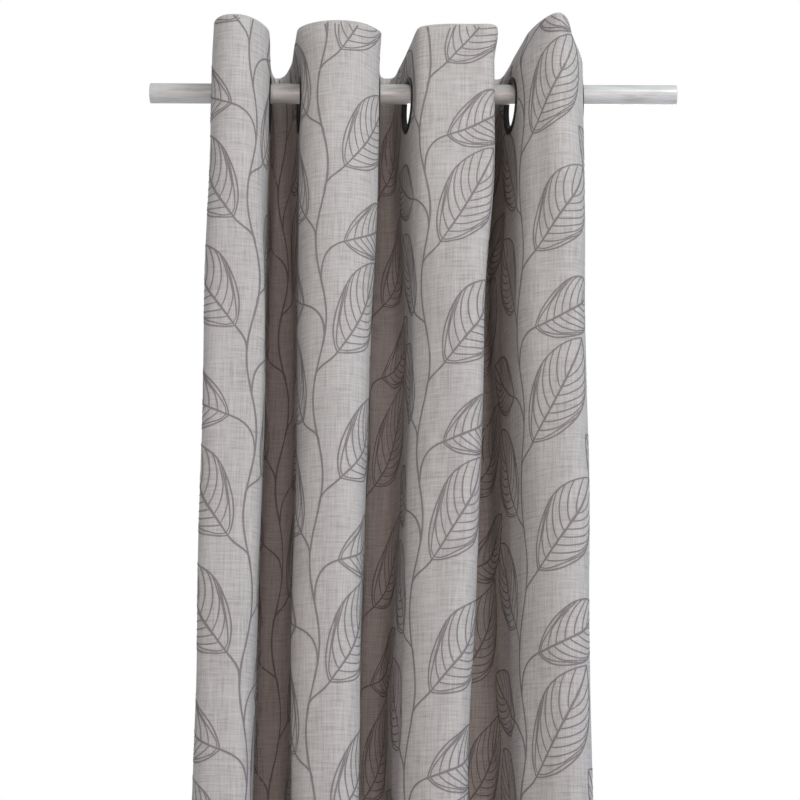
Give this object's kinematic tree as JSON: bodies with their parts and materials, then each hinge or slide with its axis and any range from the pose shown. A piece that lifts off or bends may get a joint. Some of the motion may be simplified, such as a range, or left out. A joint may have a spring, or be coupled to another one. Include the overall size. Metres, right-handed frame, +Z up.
{
  "type": "eyelet curtain panel on a rod",
  "caption": "Long eyelet curtain panel of leaf-printed linen-look cloth, hanging in deep upright folds from a plain round rod.",
  "frame": {"origin": "on the rod's axis, half way along the rod, where the left-out wall brackets hold it", "axes": "+X along the rod, to the right as seen from the room; -Y towards the room and +Y towards the wall; +Z up"},
  "size_m": [0.526, 0.1714, 2.5],
  "materials": {
    "curtain_cloth": "matt woven cloth with slubs, greige, printed with fine brown-grey leaf outlines",
    "black_eyelet": "smooth black, half gloss",
    "whitewashed_rod": "whitewashed, faint grain along the rod, satin"
  },
  "bodies": {
    "root": {"curtain_cloth": "curtain_cloth", "eyelet_face_1": "black_eyelet", "eyelet_back_1": "black_eyelet", "eyelet_face_2": "black_eyelet", "eyelet_back_2": "black_eyelet", "eyelet_face_3": "black_eyelet", "eyelet_back_3": "black_eyelet", "eyelet_face_4": "black_eyelet", "eyelet_back_4": "black_eyelet", "eyelet_face_5": "black_eyelet", "eyelet_back_5": "black_eyelet", "eyelet_face_6": "black_eyelet", "eyelet_back_6": "black_eyelet", "eyelet_face_7": "black_eyelet", "eyelet_back_7": "black_eyelet", "eyelet_face_8": "black_eyelet", "eyelet_back_8": "black_eyelet", "curtain_rod": "whitewashed_rod"}
  },
  "joints": []
}
